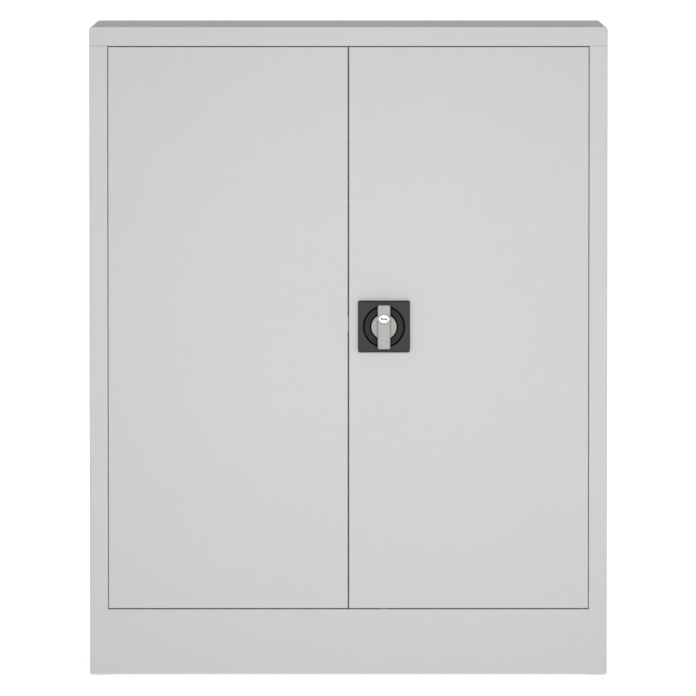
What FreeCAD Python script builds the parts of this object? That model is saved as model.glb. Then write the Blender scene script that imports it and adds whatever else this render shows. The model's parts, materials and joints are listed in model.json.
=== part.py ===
import FreeCAD, Part
import math
import os

os.makedirs("parts", exist_ok=True)

V = FreeCAD.Vector

# Steel double-door cabinet. Millimetres. X to the right and Z up, seen from the front.
# Y runs rearwards from the plane of the closed doors while the pieces are made.
# Each finished piece is then moved so that the whole object is centred on Y = 0.

# --- overall sizes -----------------------------------------------------------------------
WIDTH = 800.0
HEIGHT = 1005.0             # the body is 1002 high and stands on its feet
DEPTH = 383.0
FOOT_SHOW = 3.0             # how far the levelling feet stand out below the body
LID_HEIGHT = 30.0
LID_CORNER = 6.5            # rounding of the lid's long side edges
PLINTH_TOP = 103.0          # height of the plinth's top edge above the floor
STRIP_WIDTH = 28.0          # front edge strip of each side panel

# --- sheet metal -------------------------------------------------------------------------
SHEET = 0.9
BEND = 1.6                  # outside radius of a fold
SEAM = 0.4                  # slit between the lid and the side panels
FIT = 0.1                   # slack of a screw, rivet or plug in its hole
CLEAR = 0.5                 # general clearance between pieces that move
RUNNING = 0.06              # radial slack of a shaft in its bearing

# --- doors -------------------------------------------------------------------------------
DOOR_DEPTH = 20.0
DOOR_GAP_END = 1.2          # above and below the doors
DOOR_GAP_HINGE = 0.7
DOOR_GAP_MIDDLE = 1.4
DOOR_FOLD = 2.0             # outside radius of a door's front edges
DOOR_LIP = 20.0             # width of the flange turned in round a door's back
PIVOT_IN = 9.0              # pivot axis, in from the door's hinge edge
PIVOT_BACK = 4.5            # pivot axis, behind the door's front face
PIVOT_R = 2.5
BUSH_R = 3.3
STOP_BACK = DOOR_DEPTH + 1.2    # front face of the stops behind the doors
STOP_HEIGHT = 15.0
STOP_END = 27.0             # a stop ends this far short of the hinge jamb

# --- lock --------------------------------------------------------------------------------
LOCK_X = 55.0
LOCK_RISE = 2.4             # lever's axis above the middle of the door
ROSETTE = 80.0
ROSETTE_THICK = 6.0
HUB_R = 19.6
HUB_SINK = 2.7              # depth of the hub inside the rosette
HUB_FRONT = 10.0            # hub's front face, in front of the doors
LEVER_WIDTH = 19.3
LEVER_REACH = 34.1          # from the axis to each end of the lever
LEVER_FRONT = 21.0          # lever's front face, in front of the doors
CYLINDER_UP = 12.6          # lock cylinder above the lever's axis
PLUG_R = 6.0
HOUSING = (18.6, 14.4)      # width and height of the lens-shaped cylinder housing
HOUSING_RIM = 0.8           # slit left round the housing in the lever's face
EYE_RIM = 1.0               # wall of the lever round that slit
SPINDLE_R = 4.0
PIN_ORBIT = 14.0            # radius at which the rotor's pins run
PIN_R = 2.5
ROTOR_R = 18.0
YOKE_SLACK = 0.8            # play of a rotor pin in its fork: it takes up the pin's arc
ROD_R = 4.0
ROD_BACK = 10.5             # rod's axis behind the door's front face
TONGUE_LENGTH = 66.0
TONGUE_WIDTH = 25.0

# --- inside ------------------------------------------------------------------------------
FLOOR_STEP = 15.0           # the cabinet floor stands this far above the plinth
SHELF_LEVELS = (415.0, 690.0)
SHELF_FOLD = 25.0
SHELF_SHEET = 1.0
UPRIGHT_WIDTH = 25.0
UPRIGHT_DEPTH = 12.0
SLOT_PITCH = 25.0
UPRIGHT_SHEET = 1.5
CLIP_WIDTH = 10.0
CLIP_SHEET = 2.0
CLIP_REACH = 12.0           # how far a clip stands out under its shelf

# --- feet --------------------------------------------------------------------------------
FOOT_IN = 41.0              # foot axis, in from the cabinet's side
FOOT_BACK = STOP_BACK + 30.8    # foot axis, in from the front and from the back, clear of the jambs
PAD_R = 10.0
PAD_HEIGHT = 7.0
SCREW_R = 4.9
SCREW_TOP = 58.0            # top of a foot's screw above the floor
BRACKET_LONG = 44.0
BRACKET_SHEET = 2.5
NUT_ACROSS = 9.2            # from a nut's axis to its corners

# --- derived places ----------------------------------------------------------------------
HALF = WIDTH / 2
OPENING = HALF - STRIP_WIDTH            # half the width between the jambs
LID_BOTTOM = HEIGHT - LID_HEIGHT
DOOR_LOW = PLINTH_TOP + DOOR_GAP_END
DOOR_HIGH = LID_BOTTOM - DOOR_GAP_END
DOOR_MIDDLE = (DOOR_LOW + DOOR_HIGH) / 2
LOCK_Z = DOOR_MIDDLE + LOCK_RISE
DOOR_OUTER = OPENING - DOOR_GAP_HINGE   # a door's hinge edge
DOOR_INNER = DOOR_GAP_MIDDLE / 2        # a door's free edge
PIVOT_X = DOOR_OUTER - PIVOT_IN
FLOOR_Z = PLINTH_TOP + FLOOR_STEP
JAMB_BACK = STOP_BACK + 4.8             # the jambs reach a little behind the stops
RIVET_HEAD = 1.3
HOLE_R = 2.1                # holes for rivets and small screws
SHANK_R = HOLE_R - FIT
HEAD_R = 3.6
SHIFT = (LEVER_FRONT - DEPTH - RIVET_HEAD) / 2


# --- helpers -----------------------------------------------------------------------------
def box(x0, x1, y0, y1, z0, z1):
    """A box between two corners, given in any order."""
    return Part.makeBox(abs(x1 - x0), abs(y1 - y0), abs(z1 - z0),
                        V(min(x0, x1), min(y0, y1), min(z0, z1)))


def along_y(radius, x, z, y0, y1):
    return Part.makeCylinder(radius, y1 - y0, V(x, y0, z), V(0, 1, 0))


def along_z(radius, x, y, z0, z1):
    return Part.makeCylinder(radius, z1 - z0, V(x, y, z0), V(0, 0, 1))


def join(pieces):
    """Fuse a list of overlapping or touching solids into one."""
    whole = pieces[0].multiFuse(pieces[1:]) if len(pieces) > 1 else pieces[0]
    return whole.removeSplitter()


def mirrored(shape):
    """The same piece on the other side of the cabinet."""
    return shape.mirror(V(0, 0, 0), V(1, 0, 0))


def edges_where(shape, test):
    """The straight edges whose two end points both pass a test."""
    return [e for e in shape.Edges if len(e.Vertexes) == 2 and all(test(v.Point) for v in e.Vertexes)]


def near(a, b):
    return abs(a - b) < 1e-4


def rounded_front_box(x0, x1, y0, y1, z0, z1, radius):
    """A box with the four edges of its front face (at y0) rounded."""
    shape = box(x0, x1, y0, y1, z0, z1)
    return shape.makeFillet(radius, edges_where(shape, lambda p: near(p.y, y0)))


def folded(path, thickness, bend, place, sweep):
    """A sheet folded along a path of (a, b) points and swept in a straight line.

    The path is the middle of the sheet and bend is the outside radius of each fold.
    place turns (a, b) into a point and sweep is the vector along the folds.
    """
    half = thickness / 2
    middle = max(bend - half, half + 0.05)
    left = []
    right = []

    def unit(p, q):
        length = math.hypot(q[0] - p[0], q[1] - p[1])
        return ((q[0] - p[0]) / length, (q[1] - p[1]) / length)

    def offset(p, direction, distance):
        return (p[0] - direction[1] * distance, p[1] + direction[0] * distance)

    def add_line(chain, p, q):
        if math.hypot(q[0] - p[0], q[1] - p[1]) > 1e-6:
            chain.append(Part.makeLine(place(*p), place(*q)))

    start = path[0]
    for i in range(1, len(path)):
        way = unit(path[i - 1], path[i])
        if i == len(path) - 1:
            end = path[i]
        else:
            onward = unit(path[i], path[i + 1])
            cross = way[0] * onward[1] - way[1] * onward[0]
            turn = math.acos(max(-1.0, min(1.0, way[0] * onward[0] + way[1] * onward[1])))
            back = middle * math.tan(turn / 2)
            end = (path[i][0] - way[0] * back, path[i][1] - way[1] * back)
        add_line(left, offset(start, way, half), offset(end, way, half))
        add_line(right, offset(start, way, -half), offset(end, way, -half))
        if i < len(path) - 1:
            side = 1 if cross > 0 else -1
            centre = offset(end, way, side * middle)
            after = (path[i][0] + onward[0] * back, path[i][1] + onward[1] * back)
            bisector = unit(centre, path[i])
            for chain, hand in ((left, 1), (right, -1)):
                reach = middle - side * hand * half
                crest = (centre[0] + bisector[0] * reach, centre[1] + bisector[1] * reach)
                arc = Part.Arc(place(*offset(end, way, hand * half)), place(*crest),
                               place(*offset(after, onward, hand * half)))
                chain.append(arc.toShape())
            start = after
    first = unit(path[0], path[1])
    last = unit(path[-2], path[-1])
    caps = [Part.makeLine(place(*offset(path[0], first, half)), place(*offset(path[0], first, -half))),
            Part.makeLine(place(*offset(path[-1], last, half)), place(*offset(path[-1], last, -half)))]
    outline = Part.Wire(Part.__sortEdges__(left + right + caps))
    return Part.Face(outline).extrude(sweep)


def keep(name, shape):
    """Move a finished piece into the cabinet's frame and write it."""
    moved = shape.copy()
    moved.translate(V(0, SHIFT, 0))
    moved.exportStep("parts/" + name + ".step")


# --- cabinet body ------------------------------------------------------------------------
STRIKE_R = ROD_R + 2.0
STRIKE_BORE = ROD_R + CLEAR
LID_SCREWS = [(x, y) for x in (-HALF + 11, HALF - 11) for y in (110.0, DEPTH - 110)]
FLANGE = 20.0
RIVET_ROWS = 5
RIVET_LOW = 160.0
RIVET_PITCH = (HEIGHT - 80.0 - RIVET_LOW) / (RIVET_ROWS - 1)
BACK_RIVETS = [(side * (HALF - 8), RIVET_LOW + i * RIVET_PITCH) for side in (-1, 1)
               for i in range(RIVET_ROWS)]
WALL_HOLES_X = 600.0
WALL_HOLES_Z = 700.0
WALL_HOLE_R = 4.0
WALL_HOLES = [(x, z) for x in (-WALL_HOLES_X / 2, WALL_HOLES_X / 2)
              for z in (DOOR_MIDDLE + 5 - WALL_HOLES_Z / 2, DOOR_MIDDLE + 5 + WALL_HOLES_Z / 2)]
FEET = [(sx * (HALF - FOOT_IN), y, side, end)
        for sx, side in ((-1, "left"), (1, "right"))
        for y, end in ((FOOT_BACK, "front"), (DEPTH - FOOT_BACK, "rear"))]
ROD_TIP = 1.2               # the rods stop this far inside the door's edge
CAP_R = 9.0


def pivots(z0, z1, radius):
    return [along_z(radius, sx * PIVOT_X, PIVOT_BACK, z0, z1) for sx in (-1, 1)]


def lid_block(inset, low):
    """The lid's outline, shrunk on every side: long edges well rounded, ends folded tight."""
    high = HEIGHT - inset
    block = box(-HALF + inset, HALF - inset, inset, DEPTH - inset, low, high)
    sides = [e for e in edges_where(block, lambda p: near(p.z, high)) if e.BoundBox.YLength > 1]
    block = block.makeFillet(LID_CORNER - inset, sides)
    for y in (inset, DEPTH - inset):
        end = [e for e in block.Edges if near(e.BoundBox.YMin, y) and near(e.BoundBox.YMax, y)
               and e.BoundBox.ZMax > low + 1]
        block = block.makeFillet(BEND - inset, end)
    return block


def make_top_panel():
    outer = lid_block(0, LID_BOTTOM)
    inner = lid_block(SHEET, LID_BOTTOM - 1)
    ledge = [box(-HALF + SHEET, HALF - SHEET, SHEET, STOP_BACK + SHEET, LID_BOTTOM, LID_BOTTOM + SHEET),
             box(-HALF + SHEET, HALF - SHEET, DEPTH - FLANGE, DEPTH - SHEET, LID_BOTTOM, LID_BOTTOM + SHEET),
             box(-HALF + SHEET, -HALF + FLANGE, SHEET, DEPTH - SHEET, LID_BOTTOM, LID_BOTTOM + SHEET),
             box(HALF - FLANGE, HALF - SHEET, SHEET, DEPTH - SHEET, LID_BOTTOM, LID_BOTTOM + SHEET)]
    stop = box(-OPENING + STOP_END, OPENING - STOP_END, STOP_BACK, STOP_BACK + SHEET,
               LID_BOTTOM - STOP_HEIGHT, LID_BOTTOM + SHEET)
    panel = join([outer.cut(inner)] + ledge + [stop])
    holes = pivots(LID_BOTTOM - 1, LID_BOTTOM + 5, BUSH_R)
    holes.append(along_z(STRIKE_R, LOCK_X, ROD_BACK, LID_BOTTOM - 1, LID_BOTTOM + 5))
    holes += [along_z(HOLE_R, x, y, LID_BOTTOM - 1, LID_BOTTOM + 5) for x, y in LID_SCREWS]
    return panel.cut(Part.Compound(holes))


def make_side_panel(side):
    """Side wall with its front strip, jamb and rear flange, made as the left one."""
    half = SHEET / 2
    path = [(-HALF + FLANGE - 5, DEPTH - half), (-HALF + half, DEPTH - half), (-HALF + half, half),
            (-OPENING - half, half), (-OPENING - half, JAMB_BACK), (-OPENING - 14, JAMB_BACK)]
    low = FOOT_SHOW
    high = LID_BOTTOM - SEAM
    wall = folded(path, SHEET, BEND, lambda a, b: V(a, b, low), V(0, 0, high - low))
    flanges = [box(-HALF + half, -HALF + FLANGE, JAMB_BACK + 4, DEPTH - 6, high - SHEET, high),
               box(-HALF + half, -HALF + FLANGE, JAMB_BACK + 4, DEPTH - 6, low, low + SHEET)]
    wall = join([wall] + flanges)
    holes = [along_z(HOLE_R, x, y, high - 3, high + 1) for x, y in LID_SCREWS]
    holes += [along_y(HOLE_R, x, z, DEPTH - 3, DEPTH + 1) for x, z in BACK_RIVETS]
    left = wall.cut(Part.Compound(holes))
    return left if side < 0 else mirrored(left)


def make_back_panel():
    y1 = DEPTH - SHEET
    edge = HALF - SHEET - BEND
    panel = box(-edge, edge, y1 - SHEET, y1, 24, LID_BOTTOM - 1.6)
    holes = [along_y(HOLE_R, x, z, y1 - 3, y1 + 1) for x, z in BACK_RIVETS]
    holes += [along_y(WALL_HOLE_R, x, z, y1 - 3, y1 + 1) for x, z in WALL_HOLES]
    return panel.cut(Part.Compound(holes))


def make_plinth():
    """Plinth front, ledge under the doors and the stop that rises behind them."""
    half = SHEET / 2
    low = FOOT_SHOW
    edge = OPENING - 0.2
    path = [(15.0, low + half), (half, low + half), (half, PLINTH_TOP - half),
            (STOP_BACK + half, PLINTH_TOP - half), (STOP_BACK + half, FLOOR_Z - half),
            (STOP_BACK + 22, FLOOR_Z - half)]
    shape = folded(path, SHEET, BEND, lambda a, b: V(-edge, a, b), V(2 * edge, 0, 0))
    reach = STOP_END - 0.2
    for sx in (-1, 1):
        shape = shape.cut(box(sx * edge, sx * (edge - reach), STOP_BACK - 1, STOP_BACK + 30,
                              PLINTH_TOP, FLOOR_Z + 1))
    holes = pivots(PLINTH_TOP - 3, PLINTH_TOP + 1, BUSH_R)
    holes.append(along_z(STRIKE_R, LOCK_X, ROD_BACK, PLINTH_TOP - 3, PLINTH_TOP + 1))
    return shape.cut(Part.Compound(holes))


def make_floor():
    """Cabinet floor: a tray turned upside down between the walls."""
    x1 = HALF - SHEET - 0.2
    y0 = JAMB_BACK + SHEET + 1
    y1 = DEPTH - 2 * SHEET - 0.2
    z0 = PLINTH_TOP - 8
    z1 = FLOOR_Z + SHEET
    outer = box(-x1, x1, y0, y1, z0, z1)
    outer = outer.makeFillet(BEND, edges_where(outer, lambda p: near(p.z, z1)))
    inner = box(-x1 + SHEET, x1 - SHEET, y0 + SHEET, y1 - SHEET, z0 - 1, FLOOR_Z)
    tray = outer.cut(inner)
    apron = box(-x1 - 1, x1 + 1, y0 - 1, y0 + SHEET + 0.5, z0 - 1, FLOOR_Z)
    tray = tray.cut(apron)
    holes = [along_z(CAP_R, x, y, z1 - 3, z1 + 1) for x, y, _, _ in FEET]
    return tray.cut(Part.Compound(holes))


def make_rear_rail():
    """Channel across the bottom of the back, behind the plinth space."""
    half = SHEET / 2
    y = DEPTH - 2 * SHEET - 0.1
    x1 = HALF - FLANGE - 1
    path = [(y - 22, FOOT_SHOW + 3), (y - half, FOOT_SHOW + 3), (y - half, PLINTH_TOP - 12),
            (y - 22, PLINTH_TOP - 12)]
    rail = folded(path, 2 * half, BEND, lambda a, b: V(-x1, a, b), V(2 * x1, 0, 0))
    return rail


def make_hinge_bushes():
    """Four flanged nylon bushes that carry the doors' pivot pins."""
    bushes = []
    for sx in (-1, 1):
        for ledge, up in ((LID_BOTTOM, 1), (PLINTH_TOP - SHEET, -1)):
            inside = ledge + SHEET if up > 0 else ledge
            barrel = along_z(BUSH_R, sx * PIVOT_X, PIVOT_BACK, ledge, ledge + SHEET)
            low = inside if up > 0 else inside - 3
            collar = along_z(6.0, sx * PIVOT_X, PIVOT_BACK, low, low + 3)
            collar = collar.common(box(-HALF, HALF, BEND + 0.1, 40, low - 1, low + 4))
            bore = along_z(PIVOT_R + RUNNING, sx * PIVOT_X, PIVOT_BACK, ledge - 5, ledge + 6)
            bushes.append(join([barrel, collar]).cut(bore))
    return Part.Compound(bushes)


def make_rod_strikes():
    """Nylon rings in the lid's ledge and the plinth that take the bolted rods."""
    rings = []
    for ledge, up in ((LID_BOTTOM, 1), (PLINTH_TOP - SHEET, -1)):
        barrel = along_z(STRIKE_R, LOCK_X, ROD_BACK, ledge, ledge + SHEET)
        low = ledge + SHEET if up > 0 else ledge - 2
        collar = along_z(STRIKE_R + 1.6, LOCK_X, ROD_BACK, low, low + 2)
        bore = along_z(STRIKE_BORE, LOCK_X, ROD_BACK, ledge - 5, ledge + 6)
        rings.append(join([barrel, collar]).cut(bore))
    return Part.Compound(rings)


def make_door_buffers():
    """Small rubber pads on the stops, where the doors come to rest."""
    pads = []
    for sx in (-1, 1):
        for x in (OPENING * 0.25, OPENING * 0.8):
            for z in (LID_BOTTOM - STOP_HEIGHT + 4.5, PLINTH_TOP + 9.0):
                pads.append(along_y(3.5, sx * x, z, STOP_BACK - 0.8, STOP_BACK))
    return Part.Compound(pads)


def make_lid_screws():
    screws = []
    high = LID_BOTTOM - SEAM
    for x, y in LID_SCREWS:
        head = along_z(HEAD_R, x, y, high - SHEET - 2.2, high - SHEET)
        shank = along_z(SHANK_R, x, y, high - SHEET, LID_BOTTOM + SHEET + 3)
        recess = along_z(1.4, x, y, high - SHEET - 2.3, high - SHEET - 1.0)
        screws.append(join([head, shank]).cut(recess))
    return Part.Compound(screws)


def make_back_rivets():
    rivets = []
    for x, z in BACK_RIVETS:
        head = along_y(HEAD_R, x, z, DEPTH, DEPTH + RIVET_HEAD)
        head = head.makeFillet(0.9, [e for e in head.Edges if near(e.BoundBox.YMin, DEPTH + RIVET_HEAD)
                                     and near(e.BoundBox.YMax, DEPTH + RIVET_HEAD)])
        shank = along_y(SHANK_R, x, z, DEPTH - 2 * SHEET, DEPTH)
        bulb = along_y(2.9, x, z, DEPTH - 2 * SHEET - 2, DEPTH - 2 * SHEET)
        rivets.append(join([head, shank, bulb]))
    return Part.Compound(rivets)


# --- inside fittings ---------------------------------------------------------------------
UPRIGHT_LOW = FLOOR_Z + SHEET
UPRIGHT_HIGH = LID_BOTTOM - SEAM - SHEET - 1
UPRIGHT_FRONT = JAMB_BACK + 24
UPRIGHT_REAR = DEPTH - 2 * SHEET - 24 - UPRIGHT_WIDTH
WALL_INNER = HALF - SHEET
SHELF_SIDE = WALL_INNER - UPRIGHT_DEPTH - 1.5
SHELF_FRONT = JAMB_BACK + 8
SHELF_REAR = DEPTH - 2 * SHEET - 6


def slot_levels():
    count = int((UPRIGHT_HIGH - UPRIGHT_LOW - 20) / SLOT_PITCH)
    return [UPRIGHT_LOW + 20 + i * SLOT_PITCH for i in range(count + 1)
            if UPRIGHT_LOW + 20 + i * SLOT_PITCH < UPRIGHT_HIGH - 8]


def clip_level(shelf_top):
    """The slot that puts a shelf nearest its wanted level."""
    wanted = shelf_top - SHELF_FOLD
    return min(slot_levels(), key=lambda z: abs(z - wanted))


def make_upright(sx, front):
    """A slotted channel that stands against a side wall."""
    half = UPRIGHT_SHEET / 2
    y0 = UPRIGHT_FRONT if front else UPRIGHT_REAR
    y1 = y0 + UPRIGHT_WIDTH
    wall = -WALL_INNER
    path = [(wall + 0.2, y0 + half), (wall + UPRIGHT_DEPTH - half, y0 + half),
            (wall + UPRIGHT_DEPTH - half, y1 - half), (wall + 0.2, y1 - half)]
    channel = folded(path, UPRIGHT_SHEET, 2.2, lambda a, b: V(a, b, UPRIGHT_LOW),
                     V(0, 0, UPRIGHT_HIGH - UPRIGHT_LOW))
    middle = (y0 + y1) / 2
    slots = [box(wall + UPRIGHT_DEPTH - 3, wall + UPRIGHT_DEPTH + 1, middle - 6, middle + 6,
                 z - 2, z + 2) for z in slot_levels()]
    channel = channel.cut(Part.Compound(slots))
    return channel if sx < 0 else mirrored(channel)


def make_shelf_clips():
    """Folded steel clips hooked into the uprights' slots, one under each shelf corner."""
    clips = []
    for top in SHELF_LEVELS:
        z = clip_level(top)
        for y0 in (UPRIGHT_FRONT, UPRIGHT_REAR):
            middle = y0 + UPRIGHT_WIDTH / 2
            near_side, far_side = middle - CLIP_WIDTH / 2, middle + CLIP_WIDTH / 2
            face = -WALL_INNER + UPRIGHT_DEPTH
            tab = box(face - 5, face + CLIP_REACH, near_side, far_side, z - CLIP_SHEET / 2,
                      z + CLIP_SHEET / 2)
            drop = box(face, face + UPRIGHT_SHEET, near_side, far_side, z - CLIP_WIDTH, z)
            hook = box(face - 5, face - 3, near_side, far_side, z - CLIP_WIDTH / 2, z)
            clip = join([tab, drop, hook])
            clips += [clip, mirrored(clip)]
    return Part.Compound(clips)


def make_shelf(top_wanted):
    """A shelf with its four edges folded down and the long ones turned in."""
    z0 = clip_level(top_wanted) + 1
    z1 = z0 + SHELF_FOLD
    s = SHELF_SHEET
    outer = box(-SHELF_SIDE, SHELF_SIDE, SHELF_FRONT, SHELF_REAR, z0, z1)
    outer = outer.makeFillet(BEND, edges_where(outer, lambda p: near(p.z, z1)))
    inner = box(-SHELF_SIDE + s, SHELF_SIDE - s, SHELF_FRONT + s, SHELF_REAR - s, z0 - 1, z1 - s)
    lips = [box(-SHELF_SIDE + s, SHELF_SIDE - s, y, y + 12, z0, z0 + s)
            for y in (SHELF_FRONT + s / 2, SHELF_REAR - 12 - s / 2)]
    shelf = join([outer.cut(inner)] + lips)
    relief = []
    for sx in (-1, 1):
        for y in (UPRIGHT_FRONT, UPRIGHT_REAR):
            x = sx * (SHELF_SIDE - s / 2)
            relief.append(box(x - s, x + s, y + 4, y + UPRIGHT_WIDTH - 4, z0 - 1, z0 + s))
    return shelf.cut(Part.Compound(relief))


# --- feet --------------------------------------------------------------------------------
NUT_LOW = 22.0


def hexagon(x, y, z, corner, height):
    """An upright six-sided bar, given from its axis to its corners."""
    ring = [V(x + corner * math.cos(math.radians(a)), y + corner * math.sin(math.radians(a)), z)
            for a in range(0, 361, 60)]
    return Part.Face(Part.makePolygon(ring)).extrude(V(0, 0, height))


def make_foot_bracket(x, y):
    """Angle bracket on the side wall with a welded nut for the foot's screw."""
    sx = 1 if x > 0 else -1
    wall = sx * (HALF - SHEET)
    y0 = y - BRACKET_LONG / 2
    y1 = y + BRACKET_LONG / 2
    low = NUT_LOW - BRACKET_SHEET
    plate = box(wall, x - sx * 16, y0, y1, low, NUT_LOW)
    tab = box(wall, wall - sx * BRACKET_SHEET, y0, y1, low, NUT_LOW + 32)
    bracket = join([plate, tab, hexagon(x, y, NUT_LOW, NUT_ACROSS, 10)])
    return bracket.cut(along_z(SCREW_R + RUNNING, x, y, 0, PLINTH_TOP))


def make_foot_pad(x, y):
    """Moulded foot pad with a socket for the ball end of its screw."""
    pad = along_z(PAD_R, x, y, 0, PAD_HEIGHT)
    rim = [e for e in pad.Edges if near(e.BoundBox.ZMin, e.BoundBox.ZMax)]
    pad = pad.makeChamfer(0.6, rim)
    collar = along_z(PAD_R - 2.5, x, y, PAD_HEIGHT - 1, PAD_HEIGHT + 3)
    socket = along_z(SCREW_R - 1 + RUNNING, x, y, 2.5, PAD_HEIGHT + 5)
    head = along_z(SCREW_R + 0.6 + RUNNING, x, y, 2.5, 6.0)
    return join([pad, collar]).cut(join([socket, head]))


def make_foot_screw(x, y):
    """Levelling screw held in its pad by a round head, with a hexagon socket on top."""
    head = along_z(SCREW_R + 0.6, x, y, 2.6, 5.9)
    neck = along_z(SCREW_R - 1, x, y, 5.9, PAD_HEIGHT + 5)
    shank = along_z(SCREW_R, x, y, PAD_HEIGHT + 5, SCREW_TOP)
    shank = shank.makeChamfer(0.8, [e for e in shank.Edges if near(e.BoundBox.ZMin, SCREW_TOP)])
    socket = hexagon(x, y, SCREW_TOP - 6, SCREW_R - 2, 8)
    return join([head, neck, shank]).cut(socket)


def make_foot_caps():
    """Push-in caps that close the holes in the floor above the feet's screws."""
    caps = []
    for x, y, _, _ in FEET:
        flange = along_z(CAP_R + 2.5, x, y, FLOOR_Z + SHEET, FLOOR_Z + SHEET + 1.2)
        flange = flange.makeFillet(0.6, [e for e in flange.Edges
                                         if near(e.BoundBox.ZMin, FLOOR_Z + SHEET + 1.2)])
        plug = along_z(CAP_R - FIT, x, y, FLOOR_Z - 4, FLOOR_Z + SHEET)
        hollow = along_z(CAP_R - 2, x, y, FLOOR_Z - 5, FLOOR_Z + SHEET)
        caps.append(join([flange, plug]).cut(hollow))
    return Part.Compound(caps)


# --- doors, made as the right one --------------------------------------------------------
PIN_PLATE = 2.5
PIN_PLATE_TALL = 24.0
GUIDE_R = ROD_R + 2.0


def door_pan():
    """The bare pan of a door, with flanges turned in all round its back and two pivot holes."""
    t = SHEET
    outer = rounded_front_box(DOOR_INNER, DOOR_OUTER, 0, DOOR_DEPTH, DOOR_LOW, DOOR_HIGH, DOOR_FOLD)
    inner = rounded_front_box(DOOR_INNER + t, DOOR_OUTER - t, t, DOOR_DEPTH - t, DOOR_LOW + t,
                              DOOR_HIGH - t, DOOR_FOLD - t)
    window = box(DOOR_INNER + DOOR_LIP, DOOR_OUTER - DOOR_LIP, DOOR_DEPTH - 2 * t, DOOR_DEPTH + 1,
                 DOOR_LOW + DOOR_LIP, DOOR_HIGH - DOOR_LIP)
    holes = [along_z(PIVOT_R, PIVOT_X, PIVOT_BACK, z - 2, z + 2) for z in (DOOR_LOW, DOOR_HIGH)]
    return outer.cut(inner).cut(window).cut(Part.Compound(holes))


def make_right_door():
    """The door that carries the lock."""
    holes = [along_z(GUIDE_R, LOCK_X, ROD_BACK, z - 2, z + 2) for z in (DOOR_LOW, DOOR_HIGH)]
    holes.append(along_y(BOSS_R + 2, LOCK_X, LOCK_Z, -1, 2))
    holes += [along_y(HOLE_R, x, z, -1, 2) for x, z in LOCK_SCREWS]
    return door_pan().cut(Part.Compound(holes))


def make_left_door():
    """The door that carries the keeper, let into its free edge."""
    holes = [along_y(HOLE_R, -DOOR_INNER - KEEPER_SCREW_IN, z, DOOR_DEPTH - 2, DOOR_DEPTH + 1)
             for z in KEEPER_SCREWS]
    notch = box(-DOOR_INNER - 3, -DOOR_INNER + 1, KEEPER_FRONT, KEEPER_FRONT + KEEPER_THICK,
                KEEPER_Z - KEEPER_HEIGHT / 2, KEEPER_Z + KEEPER_HEIGHT / 2)
    return mirrored(door_pan()).cut(Part.Compound(holes + [notch]))


def make_pin_plates():
    """Angle brackets that back up the door's folded ends where the pivot pins stand."""
    plates = []
    for z, up in ((DOOR_LOW + SHEET, 1), (DOOR_HIGH - SHEET - PIN_PLATE, -1)):
        plate = box(PIVOT_X - 30, DOOR_OUTER - SHEET - 0.1, DOOR_FOLD + 0.1, DOOR_DEPTH - SHEET - 0.1,
                    z, z + PIN_PLATE)
        low = z if up > 0 else z + PIN_PLATE - PIN_PLATE_TALL
        high = low + PIN_PLATE_TALL
        tab = box(DOOR_OUTER - SHEET - 0.1 - PIN_PLATE, DOOR_OUTER - SHEET - 0.1, PIVOT_BACK + 5,
                  DOOR_DEPTH - SHEET - 0.1, low, high)
        bore = along_z(PIVOT_R, PIVOT_X, PIVOT_BACK, z - 1, z + PIN_PLATE + 1)
        front_corner = box(DOOR_OUTER - SHEET - 2.2, DOOR_OUTER, 0, SHEET + 1.4, z - 1, z + PIN_PLATE + 1)
        plates.append(join([plate, tab]).cut(bore).cut(front_corner))
    return Part.Compound(plates)


def make_hinge_pins():
    """Headed pivot pins, fixed in the door and standing out into the cabinet's bushes."""
    pins = []
    reach = DOOR_GAP_END + SHEET + 2.6
    for z, up in ((DOOR_LOW, -1), (DOOR_HIGH, 1)):
        tip = z + up * reach
        root = z - up * (SHEET + PIN_PLATE)
        low, high = min(tip, root), max(tip, root)
        pin = along_z(PIVOT_R, PIVOT_X, PIVOT_BACK, low, high)
        pin = pin.makeChamfer(0.5, [e for e in pin.Edges if near(e.BoundBox.ZMin, tip)
                                    and near(e.BoundBox.ZMax, tip)])
        head_low = root if up < 0 else root - 2
        head = along_z(PIVOT_R + 0.9, PIVOT_X, PIVOT_BACK, head_low, head_low + 2)
        pins.append(join([pin, head]))
    return Part.Compound(pins)


STIFFENER_OUT = 12.0         # a little nearer the hinges than the door's middle
STIFFENER_HALF = 24.0
STIFFENER_FOOT = 42.0


def make_stiffener():
    """A tall hat channel bonded to the inside of the door's skin."""
    half = SHEET / 2
    centre = (DOOR_INNER + DOOR_OUTER) / 2 + STIFFENER_OUT
    y = SHEET + half
    crown = DOOR_DEPTH - half - 1.5
    path = [(centre - STIFFENER_FOOT, y), (centre - STIFFENER_HALF, y), (centre - STIFFENER_HALF, crown),
            (centre + STIFFENER_HALF, crown), (centre + STIFFENER_HALF, y), (centre + STIFFENER_FOOT, y)]
    low = DOOR_LOW + DOOR_LIP + 4
    return folded(path, SHEET, BEND, lambda a, b: V(a, b, low),
                  V(0, 0, DOOR_HIGH - DOOR_LIP - 4 - low))


KEEPER_HEIGHT = 22.6
KEEPER_Z = LOCK_Z + 2.6
KEEPER_WIDTH = 22.0
KEEPER_SCREW_IN = 12.0
KEEPER_SCREWS = (KEEPER_Z - 6, KEEPER_Z + 6)
KEEPER_THICK = 2.2
KEEPER_FRONT = DOOR_DEPTH - SHEET - 0.3 - KEEPER_THICK
KEEPER_REACH = DOOR_GAP_MIDDLE - 0.7     # it fills most of the slit between the doors


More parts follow.
